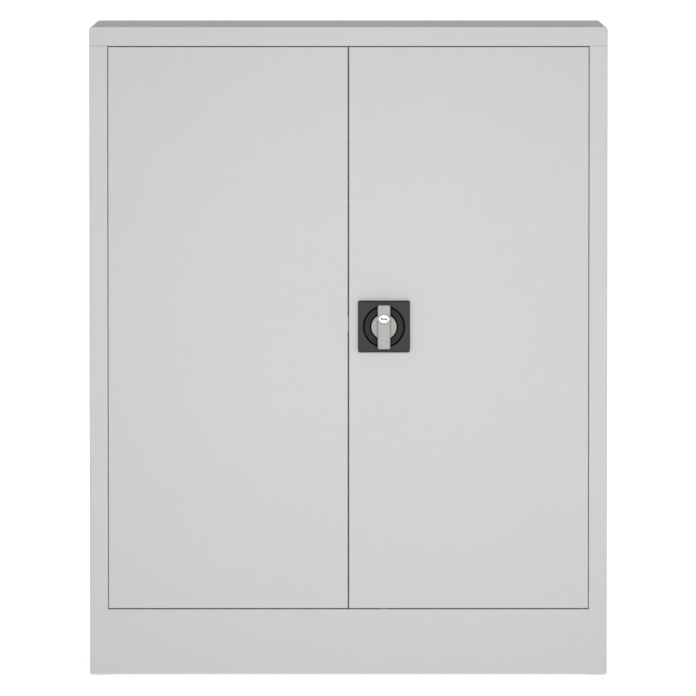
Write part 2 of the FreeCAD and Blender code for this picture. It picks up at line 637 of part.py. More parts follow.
def make_keeper():
    """Zinc keeper on the left door's edge: the lock's tongue closes behind it."""
    z0 = KEEPER_Z - KEEPER_HEIGHT / 2
    z1 = KEEPER_Z + KEEPER_HEIGHT / 2
    x = -DOOR_INNER
    nose = box(x - SHEET - KEEPER_WIDTH, x + KEEPER_REACH, KEEPER_FRONT, KEEPER_FRONT + KEEPER_THICK, z0, z1)
    nose = nose.makeFillet(0.5, edges_where(nose, lambda p: near(p.x, x + KEEPER_REACH)))
    return nose


def make_keeper_screws():
    """Two countersunk screws, flush with the back of the door's flange."""
    return Part.Compound([along_y(SHANK_R, -DOOR_INNER - KEEPER_SCREW_IN, z, KEEPER_FRONT + KEEPER_THICK,
                                  DOOR_DEPTH) for z in KEEPER_SCREWS])


# --- lock --------------------------------------------------------------------------------
CASE_HALF = 26.0             # half the lock case's width
CASE_TALL = 40.0             # half the lock case's height
CASE_SHEET = 1.5
CASE_BACK = DOOR_DEPTH - 0.6
ROTOR_FRONT = 5.0
ROTOR_BACK = 8.0
YOKE_FRONT = 9.0
YOKE_BACK = 12.0
TONGUE_FRONT = DOOR_DEPTH + 1.3
TONGUE_BACK = TONGUE_FRONT + 3.0
LOCK_SCREW_OUT = 33.0
LOCK_SCREWS = [(LOCK_X + dx, LOCK_Z + dz) for dx in (-LOCK_SCREW_OUT, LOCK_SCREW_OUT)
               for dz in (-LOCK_SCREW_OUT, LOCK_SCREW_OUT)]
LOCK_SCREW_R = 1.65
BOSS_R = 12.0                # boss of the rosette that reaches through the door


def lock_y(radius, dx, dz, y0, y1):
    """A round bar or hole square to the door, placed from the lever's axis."""
    return along_y(radius, LOCK_X + dx, LOCK_Z + dz, y0, y1)


def lock_box(dx0, dx1, y0, y1, dz0, dz1):
    return box(LOCK_X + dx0, LOCK_X + dx1, y0, y1, LOCK_Z + dz0, LOCK_Z + dz1)


PLUG_Y0 = -LEVER_FRONT + 0.2
CAM_FRONT = -5.2
CAM_BACK = -3.7
CAM_HALF = 2.0
SPINDLE_FRONT = CAM_FRONT + 0.4     # the spindle starts just behind the cylinder
NUT_THREAD = 2.5
TONGUE_NUT = 8.0
HUB_SEAT = ROSETTE_THICK - HUB_SINK      # floor of the rosette's recess, in front of the doors
RING_IN = HUB_R + 2.2        # rosette's recess round the hub
GROOVE_IN = 29.9
GROOVE_OUT = 32.8
GROOVE_DEEP = 3.4
KEYWAY_HALF = 4.9
KEYWAY_SLIT = 1.7
KEYWAY_WARD = 1.7
KEYWAY_DEEP = 9.0
CAM_REACH = RING_IN + 1.3 - CYLINDER_UP  # upright, it stands into the rosette's pocket
HUB_SLEEVE_R = 8.0          # sleeve on the lever that turns in the rosette's boss


def cam_sweep(extra, y0, y1):
    """The space the cylinder's cam turns through, a quarter turn from level to upright."""
    reach = CAM_REACH + extra
    sector = lock_y(reach, 0, CYLINDER_UP, y0, y1)
    window = lock_box(-CAM_HALF - extra, reach, y0, y1, CYLINDER_UP - CAM_HALF - extra,
                      CYLINDER_UP + reach)
    return sector.common(window)


def make_rosette():
    """Square moulded plate with a ring groove and a recess for the lever's hub."""
    half = ROSETTE / 2
    plate = lock_box(-half, half, -ROSETTE_THICK, 0, -half, half)
    upright = [e for e in plate.Edges if near(e.BoundBox.YLength, ROSETTE_THICK)]
    plate = plate.makeFillet(3.0, upright)
    rim = [e for e in plate.Edges if near(e.BoundBox.YMin, -ROSETTE_THICK)
           and near(e.BoundBox.YMax, -ROSETTE_THICK)]
    plate = plate.makeFillet(2.0, rim)
    groove = lock_y(GROOVE_OUT, 0, 0, -ROSETTE_THICK - 1, -ROSETTE_THICK + GROOVE_DEEP).cut(
        lock_y(GROOVE_IN, 0, 0, -ROSETTE_THICK - 1, 0))
    low_ring = lock_y(GROOVE_IN, 0, 0, -ROSETTE_THICK - 1, -ROSETTE_THICK + 0.4)
    recess = lock_y(RING_IN, 0, 0, -ROSETTE_THICK - 1, -HUB_SEAT + 0.3)
    boss = lock_y(BOSS_R, 0, 0, -HUB_SEAT, SHEET + CASE_SHEET + 1)
    pocket = cam_sweep(CLEAR, -ROSETTE_THICK + 0.6, -HUB_SEAT + 0.3)
    pocket_side = pocket.copy()
    pocket_side.rotate(V(LOCK_X, 0, LOCK_Z), V(0, 1, 0), 90)
    body = join([plate, boss]).cut(Part.Compound([groove]))
    body = body.cut(low_ring).cut(recess).cut(pocket).cut(pocket_side)
    body = body.cut(lock_y(HUB_SLEEVE_R + RUNNING, 0, 0, -ROSETTE_THICK - 1, 8))
    holes = [along_y(LOCK_SCREW_R + 0.05, x, z, -3.0, 1) for x, z in LOCK_SCREWS]
    return body.cut(Part.Compound(holes))


def lens(width, height, y0, y1):
    """A lens with points left and right, centred on the lock cylinder."""
    radius = (width ** 2 + height ** 2) / (4 * height)
    rise = radius - height / 2
    upper = lock_y(radius, 0, CYLINDER_UP - rise, y0, y1)
    return upper.common(lock_y(radius, 0, CYLINDER_UP + rise, y0, y1))


def make_lever():
    """Lever with its round hub, cast in one piece, hollow behind for the cylinder's cam."""
    hub = lock_y(HUB_R, 0, 0, -HUB_FRONT, -HUB_SEAT)
    hub = hub.makeFillet(1.0, [e for e in hub.Edges if near(e.BoundBox.YMin, -HUB_FRONT)
                               and near(e.BoundBox.YMax, -HUB_FRONT)])
    bar = lock_box(-LEVER_WIDTH / 2, LEVER_WIDTH / 2, -LEVER_FRONT, -HUB_FRONT + 2,
                   -LEVER_REACH, LEVER_REACH)
    ends = [e for e in bar.Edges if near(e.BoundBox.YLength, LEVER_FRONT - HUB_FRONT + 2)]
    bar = bar.makeFillet(2.5, ends)
    rim = [e for e in bar.Edges if near(e.BoundBox.YMin, -LEVER_FRONT)
           and near(e.BoundBox.YMax, -LEVER_FRONT)]
    bar = bar.makeFillet(1.2, rim)
    slit = (HOUSING[0] + 2 * HOUSING_RIM, HOUSING[1] + 2 * HOUSING_RIM)
    eye = lens(slit[0] + 2 * EYE_RIM, slit[1] + 2 * EYE_RIM, -LEVER_FRONT + 0.8, -HUB_FRONT + 1)
    sleeve = lock_y(HUB_SLEEVE_R, 0, 0, -HUB_SEAT - 1, SHEET + CASE_SHEET + 1)
    lever = join([hub, bar, eye, sleeve])
    hollow = cam_sweep(CLEAR, CAM_FRONT - CLEAR, -HUB_SEAT + 1)
    hollow = hollow.cut(lock_y(HUB_SLEEVE_R, 0, 0, -HUB_FRONT, 9))
    lever = lever.cut(hollow)
    lever = lever.cut(lens(slit[0], slit[1], -LEVER_FRONT - 1, -LEVER_FRONT + 2.2))
    lever = lever.cut(lens(HOUSING[0], HOUSING[1], -LEVER_FRONT, -HUB_FRONT - 1))
    lever = lever.cut(lock_y(PLUG_R + RUNNING, 0, CYLINDER_UP, -HUB_FRONT - 2, CAM_FRONT + 0.1))
    return lever.cut(lock_y(SPINDLE_R, 0, 0, SPINDLE_FRONT, 9))


def make_cylinder_housing():
    body = lens(HOUSING[0], HOUSING[1], -LEVER_FRONT, -HUB_FRONT - 1)
    face = [e for e in body.Edges if near(e.BoundBox.YMin, -LEVER_FRONT)
            and near(e.BoundBox.YMax, -LEVER_FRONT)]
    body = body.makeChamfer(0.5, face)
    return body.cut(lock_y(PLUG_R + RUNNING, 0, CYLINDER_UP, -LEVER_FRONT - 1, -HUB_FRONT))


def make_cylinder_plug():
    """Turning plug of the lock cylinder, with a keyway in front and a cam behind."""
    plug = lock_y(PLUG_R, 0, CYLINDER_UP, PLUG_Y0, CAM_FRONT)
    y0 = PLUG_Y0 - 1
    y1 = PLUG_Y0 + KEYWAY_DEEP
    half = KEYWAY_SLIT / 2
    slit = lock_box(-KEYWAY_HALF, KEYWAY_HALF, y0, y1, CYLINDER_UP - half, CYLINDER_UP + half)
    left_ward = lock_box(-KEYWAY_HALF, -KEYWAY_HALF + KEYWAY_WARD, y0, y1, CYLINDER_UP,
                         CYLINDER_UP + half + KEYWAY_WARD)
    right_ward = lock_box(KEYWAY_HALF - KEYWAY_WARD, KEYWAY_HALF, y0, y1,
                          CYLINDER_UP - half - KEYWAY_WARD, CYLINDER_UP)
    cam = lock_box(0, CAM_REACH, CAM_FRONT, CAM_BACK, CYLINDER_UP - CAM_HALF, CYLINDER_UP + CAM_HALF)
    cam = cam.common(lock_y(CAM_REACH, 0, CYLINDER_UP, CAM_FRONT, CAM_BACK))
    boss = lock_y(CAM_HALF, 0, CYLINDER_UP, CAM_FRONT, CAM_BACK)
    return join([plug.cut(join([slit, left_ward, right_ward])), cam, boss])


def make_spindle():
    return lock_y(SPINDLE_R, 0, 0, SPINDLE_FRONT, TONGUE_BACK + NUT_THREAD)


def make_rotor():
    """Disc on the spindle with two pins that drive the bolting rods."""
    disc = lock_y(ROTOR_R, 0, 0, ROTOR_FRONT, ROTOR_BACK)
    reach = PIN_ORBIT / math.sqrt(2)
    pins = [lock_y(PIN_R, -reach, -reach, ROTOR_BACK, YOKE_BACK + 0.6),
            lock_y(PIN_R, reach, reach, ROTOR_BACK, YOKE_BACK + 0.6)]
    return join([disc] + pins).cut(lock_y(SPINDLE_R, 0, 0, 0, 20))


def make_tongue():
    """Flat arm that turns behind the left door; it hangs upright while unlocked."""
    half = TONGUE_WIDTH / 2
    arm = lock_box(-half, half, TONGUE_FRONT, TONGUE_BACK, -TONGUE_LENGTH, half)
    upright = [e for e in arm.Edges if near(e.BoundBox.YLength, TONGUE_BACK - TONGUE_FRONT)]
    arm = arm.makeFillet(4.0, upright)
    return arm.cut(lock_y(SPINDLE_R, 0, 0, TONGUE_FRONT - 1, TONGUE_BACK + 1))


def make_tongue_nut():
    ring = [V(LOCK_X + TONGUE_NUT * math.cos(math.radians(a)), TONGUE_BACK,
              LOCK_Z + TONGUE_NUT * math.sin(math.radians(a))) for a in range(0, 361, 60)]
    nut = Part.Face(Part.makePolygon(ring)).extrude(V(0, 4.5, 0))
    return nut.cut(lock_y(SPINDLE_R, 0, 0, TONGUE_BACK - 1, TONGUE_BACK + NUT_THREAD))


def make_lock_case():
    """Open-ended steel case behind the door's skin that holds the lock's works."""
    half = CASE_SHEET / 2
    front = SHEET + half
    back = CASE_BACK - half
    path = [(LOCK_X - CASE_HALF - 11, front), (LOCK_X - CASE_HALF, front), (LOCK_X - CASE_HALF, back),
            (LOCK_X + CASE_HALF, back), (LOCK_X + CASE_HALF, front), (LOCK_X + CASE_HALF + 11, front)]
    shape = folded(path, CASE_SHEET, 2.4, lambda a, b: V(a, b, LOCK_Z - CASE_TALL),
                   V(0, 0, 2 * CASE_TALL))
    shape = shape.cut(lock_y(SPINDLE_R + RUNNING, 0, 0, 5, 30))
    holes = [along_y(HOLE_R, x, z, 0, 4) for x, z in LOCK_SCREWS]
    return shape.cut(Part.Compound(holes))


def make_lock_screws():
    """Four screws from behind, through the case and the skin, into the rosette."""
    screws = []
    for x, z in LOCK_SCREWS:
        head = along_y(HEAD_R, x, z, SHEET + CASE_SHEET, SHEET + CASE_SHEET + 2.2)
        head = head.cut(along_y(LOCK_SCREW_R - 0.3, x, z, SHEET + CASE_SHEET + 1, SHEET + CASE_SHEET + 3))
        shank = along_y(LOCK_SCREW_R, x, z, -2.8, SHEET + CASE_SHEET)
        screws.append(join([head, shank]))
    return Part.Compound(screws)


YOKE_OUT = PIN_ORBIT + PIN_R + 5.0
YOKE_IN = 6.6
YOKE_CROSS = 22.0


def make_upper_yoke():
    """Fork that the left pin lifts, with an eye for the foot of the upper rod."""
    rest = -PIN_ORBIT / math.sqrt(2)
    arm = lock_box(-YOKE_OUT, -YOKE_IN, YOKE_FRONT, YOKE_BACK, rest - PIN_R - YOKE_SLACK - 4.5,
                   YOKE_CROSS + 12)
    cross = lock_box(-YOKE_OUT, ROD_R + 4, YOKE_FRONT, YOKE_BACK, YOKE_CROSS, YOKE_CROSS + 12)
    slot = lock_box(-PIN_ORBIT - PIN_R - 0.8, 0, YOKE_FRONT - 1, YOKE_BACK + 1,
                    rest - PIN_R - YOKE_SLACK, rest + PIN_R + YOKE_SLACK)
    yoke = join([arm, cross]).cut(slot)
    return yoke.cut(along_z(ROD_R, LOCK_X, ROD_BACK, LOCK_Z + YOKE_CROSS + 1, LOCK_Z + 100))


def half_turned(shape):
    """The same piece turned half way round the lever's axis."""
    other = shape.copy()
    other.rotate(V(LOCK_X, 0, LOCK_Z), V(0, 1, 0), 180)
    return other


def make_rod(root, tip):
    """Round rod from its fork to its tip, which bolts the door into the lid or the plinth."""
    rod = along_z(ROD_R, LOCK_X, ROD_BACK, min(root, tip), max(root, tip))
    end = [e for e in rod.Edges if near(e.BoundBox.ZMin, tip) and near(e.BoundBox.ZMax, tip)]
    return rod.makeChamfer(1.0, end)


def make_rod_guides():
    """Nylon guide rings in the door's top and bottom flanges."""
    guides = []
    for z, low in ((DOOR_HIGH - SHEET, DOOR_HIGH - SHEET - 6), (DOOR_LOW, DOOR_LOW + SHEET)):
        barrel = along_z(GUIDE_R, LOCK_X, ROD_BACK, z, z + SHEET)
        collar = along_z(GUIDE_R + 1.0, LOCK_X, ROD_BACK, low, low + 6)
        bore = along_z(ROD_R + RUNNING, LOCK_X, ROD_BACK, low - 9, low + 12)
        guides.append(join([barrel, collar]).cut(bore))
    return Part.Compound(guides)


# --- write every piece -------------------------------------------------------------------
keep("top_panel", make_top_panel())
keep("left_side_panel", make_side_panel(-1))
keep("right_side_panel", make_side_panel(1))
keep("back_panel", make_back_panel())
keep("plinth_panel", make_plinth())
keep("floor_panel", make_floor())
keep("rear_base_rail", make_rear_rail())
keep("hinge_bushes", make_hinge_bushes())
keep("rod_strikes", make_rod_strikes())
keep("door_buffers", make_door_buffers())
keep("lid_screws", make_lid_screws())
keep("back_rivets", make_back_rivets())
keep("foot_hole_caps", make_foot_caps())
for sx, side in ((-1, "left"), (1, "right")):
    keep("shelf_upright_front_" + side, make_upright(sx, True))
    keep("shelf_upright_rear_" + side, make_upright(sx, False))
keep("shelf_clips", make_shelf_clips())
keep("lower_shelf", make_shelf(SHELF_LEVELS[0]))
keep("upper_shelf", make_shelf(SHELF_LEVELS[1]))
for x, y, side, end in FEET:
    place = end + "_" + side
    keep("foot_bracket_" + place, make_foot_bracket(x, y))
    keep("foot_pad_" + place, make_foot_pad(x, y))
    keep("foot_screw_" + place, make_foot_screw(x, y))

keep("right_door_panel", make_right_door())
keep("left_door_panel", make_left_door())
for side, turn in (("right", lambda s: s), ("left", mirrored)):
    keep(side + "_door_pin_plates", turn(make_pin_plates()))
    keep(side + "_door_hinge_pins", turn(make_hinge_pins()))
    keep(side + "_door_stiffener", turn(make_stiffener()))
keep("keeper_plate", make_keeper())
keep("keeper_screws", make_keeper_screws())

keep("lock_rosette", make_rosette())
keep("lock_lever", make_lever())
keep("lock_cylinder_housing", make_cylinder_housing())
keep("lock_cylinder_plug", make_cylinder_plug())
keep("lock_spindle", make_spindle())
keep("lock_rotor", make_rotor())
keep("lock_tongue", make_tongue())
keep("lock_tongue_nut", make_tongue_nut())
keep("lock_case", make_lock_case())
keep("lock_screws", make_lock_screws())
keep("upper_rod_yoke", make_upper_yoke())
keep("lower_rod_yoke", half_turned(make_upper_yoke()))
keep("upper_rod", make_rod(LOCK_Z + YOKE_CROSS + 1, DOOR_HIGH - ROD_TIP))
keep("lower_rod", make_rod(LOCK_Z - YOKE_CROSS - 1, DOOR_LOW + ROD_TIP))
keep("rod_guides", make_rod_guides())
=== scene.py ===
import json
import math

import bmesh
import bpy
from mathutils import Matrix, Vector


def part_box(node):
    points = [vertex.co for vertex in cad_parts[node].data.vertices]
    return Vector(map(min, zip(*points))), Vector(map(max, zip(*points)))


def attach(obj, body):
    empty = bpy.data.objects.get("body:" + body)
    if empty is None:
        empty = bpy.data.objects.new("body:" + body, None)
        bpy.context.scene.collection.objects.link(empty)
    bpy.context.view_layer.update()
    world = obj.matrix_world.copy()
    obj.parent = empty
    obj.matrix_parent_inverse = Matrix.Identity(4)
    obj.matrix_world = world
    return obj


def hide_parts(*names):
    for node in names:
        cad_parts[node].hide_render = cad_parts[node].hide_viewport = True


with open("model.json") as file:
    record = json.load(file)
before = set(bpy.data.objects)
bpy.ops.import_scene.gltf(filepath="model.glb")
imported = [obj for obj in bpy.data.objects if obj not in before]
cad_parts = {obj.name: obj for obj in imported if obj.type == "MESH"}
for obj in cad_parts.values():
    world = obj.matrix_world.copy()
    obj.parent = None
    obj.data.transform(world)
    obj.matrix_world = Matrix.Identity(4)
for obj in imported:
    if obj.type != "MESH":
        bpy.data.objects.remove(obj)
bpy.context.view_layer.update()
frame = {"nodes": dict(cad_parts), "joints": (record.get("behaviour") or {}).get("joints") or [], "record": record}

bl_info = {
    "name": "Steel double-door cabinet",
    "version": (1, 0, 0),
    "blender": (4, 5, 0),
    "location": "3D View > Sidebar > Cabinet",
    "description": "Finishes the packed cabinet: coatings, lock trim, small fittings, floor, light "
                   "and camera",
    "category": "Object",
}

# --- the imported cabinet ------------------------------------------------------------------
MM = 0.001
NODES = frame["nodes"]
SLOT_OF = {part["node"]: part["material_slot"] for part in frame["record"]["subparts"]}
BODY_OF = {node: body for body, group in frame["record"]["behaviour"]["bodies"].items() for node in group}
JOINT = {joint["name"]: joint for joint in frame["joints"]}
CYLINDER_AXIS = Vector(JOINT["cylinder_turn"]["pos_m"])
FRONT_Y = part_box("right_door_panel")[0].y       # plane of the doors, the plinth and the side strips

SHEET_METAL = ["top_panel", "left_side_panel", "right_side_panel", "plinth_panel",
               "left_door_panel", "right_door_panel", "floor_panel", "lower_shelf", "upper_shelf"]
LOCK_TRIM = ["lock_rosette", "lock_lever", "lock_cylinder_housing", "lock_cylinder_plug"]
FEET = [node[len("foot_screw_"):] for node in NODES if node.startswith("foot_screw_")]
FITTINGS = ["hinge_bushes", "rod_strikes", "rod_guides", "door_buffers", "lid_screws", "back_rivets",
            "foot_hole_caps", "rear_base_rail", "left_door_hinge_pins", "right_door_hinge_pins",
            "left_door_stiffener", "right_door_stiffener", "lock_spindle",
            "lock_rotor", "lock_tongue", "lock_case", "lock_screws", "upper_rod", "lower_rod",
            "shelf_upright_front_left", "shelf_upright_front_right", "shelf_upright_rear_left",
            "shelf_upright_rear_right"] + ["foot_pad_" + foot for foot in FEET]

# --- sizes of the small pieces and of the stage ------------------------------------------
MERGE_WITHIN = 1e-6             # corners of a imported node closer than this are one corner
SMOOTH_UNDER = 32               # degrees; edges that turn less are shaded smooth
BEVEL_PROFILE = 0.5

# dark plate inside the keyway: painted shade for the keyway's depth, shaped as a dust shutter
SHADE_SHUTTER_SIZE = (9.5 * MM, 1.0 * MM, 1.55 * MM)
SHADE_SHUTTER_SUNK = 0.7 * MM         # behind the face of the cylinder's plug
SHADE_SHUTTER_RIM = 0.35 * MM         # border left standing round the shutter's hollow
SHADE_SHUTTER_HOLLOW = 0.3 * MM
SHADE_SHUTTER_EDGE = 0.08 * MM

WELD_SECTION = (2.9 * MM, 0.8 * MM)     # width along the front, depth behind it
WELD_SUNK = 0.04 * MM           # under the face, as the grinding leaves it
WELD_ASIDE = 0.9 * MM           # middle of the weld, out from the plinth's end
WELD_EDGE = 0.15 * MM
DOOR_GAP = 1.2 * MM             # between the doors and the plinth
PLINTH_FOLD = 1.4 * MM          # round of the plinth's top edge, where the weld stops

THREAD_PITCH = 1.5 * MM
THREAD_DEEP = 0.65 * MM
THREAD_START = 12.0 * MM        # above the floor
THREAD_LEAD = 0.9 * MM          # first ridge above the thread's start
THREAD_END = 1.5 * MM           # last ridge below the screw's top
RIDGE_ROOT = 0.68 * MM          # half the ridge's height where it meets the core
RIDGE_CREST = 0.12 * MM         # half its height at the crest
RIDGE_SUNK = 0.05 * MM          # the ridge starts this far inside the core
SCREW_INSIDE = 0.6 * MM         # thread's crest, in from the rim of the screw's foot
SCREW_NECK = 1.0 * MM           # plain neck, in from the crest
SCREW_FOOT = 3.3 * MM           # thickness of the disc that turns in the pad
FOOT_CHAMFER = 0.4 * MM
TIP_CHAMFER = 0.3 * MM
SOCKET_WALL = 2.0 * MM          # from the crest in to the socket's corners
SOCKET_DEEP = 6.0 * MM
STEPS_ROUND = 36
STEPS_PER_TURN = 24             # of the thread

FLOOR_HALF = 60.0               # metres, far past the picture
FLOOR_WHITE = (0.93, 0.93, 0.93)
KEY_ASIDE = 0.12
KEY_AWAY = 1.6
KEY_HEIGHT = 0.60
KEY_SIZE = (1.2, 1.0)
SURROUND_FADE = (0.04, 0.75)    # upward slopes between which walls turn into ceiling
SENSOR_WIDTH = 36.0
VIEW_RANGE = (0.1, 200.0)


# --- sizes and colours a user may change -------------------------------------------------
class CabinetFinish(bpy.types.PropertyGroup):
    coat_colour: bpy.props.FloatVectorProperty(
        name="Coat colour", description="Colour of the powder coat", subtype="COLOR", size=3,
        min=0.0, max=1.0, default=(0.452, 0.452, 0.452))
    coat_roughness: bpy.props.FloatProperty(
        name="Coat roughness", description="How matt the powder coat is", subtype="FACTOR",
        min=0.0, max=1.0, default=0.48)
    peel_size: bpy.props.FloatProperty(
        name="Orange peel size", description="Width of one ripple of the powder coat",
        subtype="DISTANCE", unit="LENGTH", default=1.3 * MM)
    plastic_colour: bpy.props.FloatVectorProperty(
        name="Plastic colour", description="Colour of the moulded rosette and foot pads",
        subtype="COLOR", size=3, min=0.0, max=1.0, default=(0.0125, 0.0125, 0.013))
    lever_colour: bpy.props.FloatVectorProperty(
        name="Lever colour", description="Colour of the cast lever", subtype="COLOR", size=3,
        min=0.0, max=1.0, default=(0.238, 0.238, 0.235))
    nickel_colour: bpy.props.FloatVectorProperty(
        name="Cylinder colour", description="Colour of the plated lock cylinder",
        subtype="COLOR", size=3, min=0.0, max=1.0, default=(0.36, 0.365, 0.29))


class StageSettings(bpy.types.PropertyGroup):
    camera_distance: bpy.props.FloatProperty(
        name="Camera distance", description="From the doors to the camera",
        subtype="DISTANCE", unit="LENGTH", default=14.0)
    camera_height: bpy.props.FloatProperty(
        name="Camera height", description="Height of the camera above the floor",
        subtype="DISTANCE", unit="LENGTH", default=1.358)
    view_width: bpy.props.FloatProperty(
        name="View width", description="Width of the picture at the doors",
        subtype="DISTANCE", unit="LENGTH", default=1.0760)
    aim_height: bpy.props.FloatProperty(
        name="Aim height", description="Height that the camera looks at",
        subtype="DISTANCE", unit="LENGTH", default=0.5081)
    camera_side: bpy.props.FloatProperty(
        name="Camera offset", description="How far the camera stands to the right of the middle",
        subtype="DISTANCE", unit="LENGTH", default=-0.6 * MM)
    key_power: bpy.props.FloatProperty(
        name="Key light", description="Power of the large front light", unit="POWER", default=11.8)
    horizon_level: bpy.props.FloatProperty(
        name="Surround", description="Brightness of the studio walls", default=1.02)
    floor_glow: bpy.props.FloatProperty(
        name="Floor glow", description="Light that the pale floor gives off by itself", default=0.54)
    ceiling_level: bpy.props.FloatProperty(
        name="Ceiling", description="Brightness of the studio overhead", default=0.44)


# --- tools for materials -----------------------------------------------------------------
def start_material(name, colour, metallic, roughness):
    """A Principled material with its colour and a node tree ready for detail."""
    material = bpy.data.materials.new(name)
    material.use_nodes = True
    shader = material.node_tree.nodes["Principled BSDF"]
    shader.inputs["Base Color"].default_value = (*colour, 1.0)
    shader.inputs["Metallic"].default_value = metallic
    shader.inputs["Roughness"].default_value = roughness
    return material, shader


def object_noise(material, feature_size, octaves, stretch=(1.0, 1.0, 1.0)):
    """Noise in the piece's own coordinates with ripples of a given real width."""
    tree = material.node_tree
    place = tree.nodes.new("ShaderNodeTexCoord")
    mapping = tree.nodes.new("ShaderNodeMapping")
    mapping.inputs["Scale"].default_value = stretch
    noise = tree.nodes.new("ShaderNodeTexNoise")
    noise.inputs["Scale"].default_value = 1.0 / feature_size
    noise.inputs["Detail"].default_value = octaves
    tree.links.new(place.outputs["Object"], mapping.inputs["Vector"])
    tree.links.new(mapping.outputs["Vector"], noise.inputs["Vector"])
    return noise


def spread(material, noise, low, high):
    """Turn a noise value, which mostly lies from 0.3 to 0.7, into a number between two limits."""
    ramp = material.node_tree.nodes.new("ShaderNodeMapRange")
    ramp.inputs["From Min"].default_value = 0.3
    ramp.inputs["From Max"].default_value = 0.7
    ramp.inputs["To Min"].default_value = low
    ramp.inputs["To Max"].default_value = high
    material.node_tree.links.new(noise.outputs["Fac"], ramp.inputs["Value"])
    return ramp.outputs["Result"]


def vary_colour(material, shader, noise, colour, change):
    """Let the colour drift a little lighter and darker over the surface."""
    tree = material.node_tree
    mix = tree.nodes.new("ShaderNodeMix")
    mix.data_type = "RGBA"
    mix.inputs["A"].default_value = (*[c * (1 - change) for c in colour], 1.0)
    mix.inputs["B"].default_value = (*[min(1.0, c * (1 + change)) for c in colour], 1.0)
    tree.links.new(spread(material, noise, 0.0, 1.0), mix.inputs["Factor"])
    tree.links.new(mix.outputs["Result"], shader.inputs["Base Color"])


def add_bump(material, shader, noise, depth):
    """Raise the surface by a noise, depth metres at most."""
    tree = material.node_tree
    bump = tree.nodes.new("ShaderNodeBump")
    bump.inputs["Strength"].default_value = 1.0
    bump.inputs["Distance"].default_value = depth
    tree.links.new(noise.outputs["Fac"], bump.inputs["Height"])
    tree.links.new(bump.outputs["Normal"], shader.inputs["Normal"])


def vary_gloss(material, shader, noise, low, high):
    """Let the roughness wander between two limits."""
    material.node_tree.links.new(spread(material, noise, low, high), shader.inputs["Roughness"])


def paint_recess_shade(material, face, depth, remainder):
    """Paint shade into the colour, and make the surface dull, behind a face that looks to the front."""
    tree = material.node_tree
    shader = tree.nodes["Principled BSDF"]
    plain = shader.inputs["Base Color"].links[0].from_socket
    satin = shader.inputs["Roughness"].links[0].from_socket
    place = tree.nodes.new("ShaderNodeTexCoord")
    split = tree.nodes.new("ShaderNodeSeparateXYZ")
    fade = tree.nodes.new("ShaderNodeMapRange")
    # painted shade: the colour is scaled down with depth behind the face
    fade.inputs["From Min"].default_value = face + 0.1 * MM
    fade.inputs["From Max"].default_value = face + depth
    fade.inputs["To Min"].default_value = 1.0
    fade.inputs["To Max"].default_value = remainder
    shade = tree.nodes.new("ShaderNodeVectorMath")
    shade.operation = "SCALE"
    dull = tree.nodes.new("ShaderNodeMix")
    dull.inputs["A"].default_value = 1.0
    tree.links.new(place.outputs["Object"], split.inputs["Vector"])
    tree.links.new(split.outputs["Y"], fade.inputs["Value"])
    tree.links.new(plain, shade.inputs[0])
    tree.links.new(fade.outputs["Result"], shade.inputs["Scale"])
    tree.links.new(shade.outputs["Vector"], shader.inputs["Base Color"])
    tree.links.new(fade.outputs["Result"], dull.inputs["Factor"])
    tree.links.new(satin, dull.inputs["B"])
    tree.links.new(dull.outputs["Result"], shader.inputs["Roughness"])


# --- the cabinet's finishes --------------------------------------------------------------
def powder_coat(finish):
    """Light grey powder coat with orange peel."""
    roughness = finish.coat_roughness
    material, shader = start_material("light_grey_powder_coat", finish.coat_colour, 0.0, roughness)
    shader.inputs["Specular IOR Level"].default_value = 0.4
    drift = object_noise(material, 220 * MM, 2.0)
    peel = object_noise(material, finish.peel_size, 3.0)
    haze = object_noise(material, 12 * MM, 3.0)
    vary_colour(material, shader, drift, finish.coat_colour, 0.006)
    add_bump(material, shader, peel, 0.04 * MM)
    vary_gloss(material, shader, haze, roughness - 0.05, roughness + 0.05)
    return material


def moulded_plastic(name, colour, roughness, grain_size=0.6 * MM):
    """Moulded plastic or rubber with the fine grain of its mould."""
    material, shader = start_material(name, colour, 0.0, roughness)
    shader.inputs["Specular IOR Level"].default_value = 0.28
    clouds = object_noise(material, 6 * MM, 2.0)
    grain = object_noise(material, grain_size, 2.0)
    haze = object_noise(material, 2 * MM, 3.0)
    vary_colour(material, shader, clouds, colour, 0.04)
    add_bump(material, shader, grain, 0.04 * MM)
    vary_gloss(material, shader, haze, roughness - 0.03, roughness + 0.05)
    return material


def rosette_plastic(finish):
    """Moulded plastic of the rosette, with painted shade darkening its grooves, where the finish is also unbuffed
    and duller.
    """
    material = moulded_plastic("rosette_plastic_groove_shade", finish.plastic_colour, 0.46)
    # painted shade: from 0.1 mm to 1.2 mm behind the rosette's face the colour darkens to 2% of its own
    paint_recess_shade(material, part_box("lock_rosette")[0].y, 1.2 * MM, 0.02)
    return material


def cast_zinc(finish):
    """Zinc die casting with a fine satin metallic coat over its blasted grain."""
    material, shader = start_material("satin_cast_zinc", finish.lever_colour, 0.35, 0.42)
    clouds = object_noise(material, 4 * MM, 3.0)
    grain = object_noise(material, 0.35 * MM, 2.0)
    haze = object_noise(material, 1.5 * MM, 3.0)
    vary_colour(material, shader, clouds, finish.lever_colour, 0.02)
    add_bump(material, shader, grain, 0.022 * MM)
    vary_gloss(material, shader, haze, 0.39, 0.46)
    return material


def nickel_plate(finish):
    """Nickel plate over fine level turning lines."""
    material, shader = start_material("nickel_plate", finish.nickel_colour, 1.0, 0.34)
    clouds = object_noise(material, 3 * MM, 3.0)
    lines = object_noise(material, 1.2 * MM, 4.0, (1.0, 1.0, 14.0))
    haze = object_noise(material, 2 * MM, 3.0)
    vary_colour(material, shader, clouds, finish.nickel_colour, 0.06)
    add_bump(material, shader, lines, 0.006 * MM)
    vary_gloss(material, shader, haze, 0.28, 0.42)
    return material


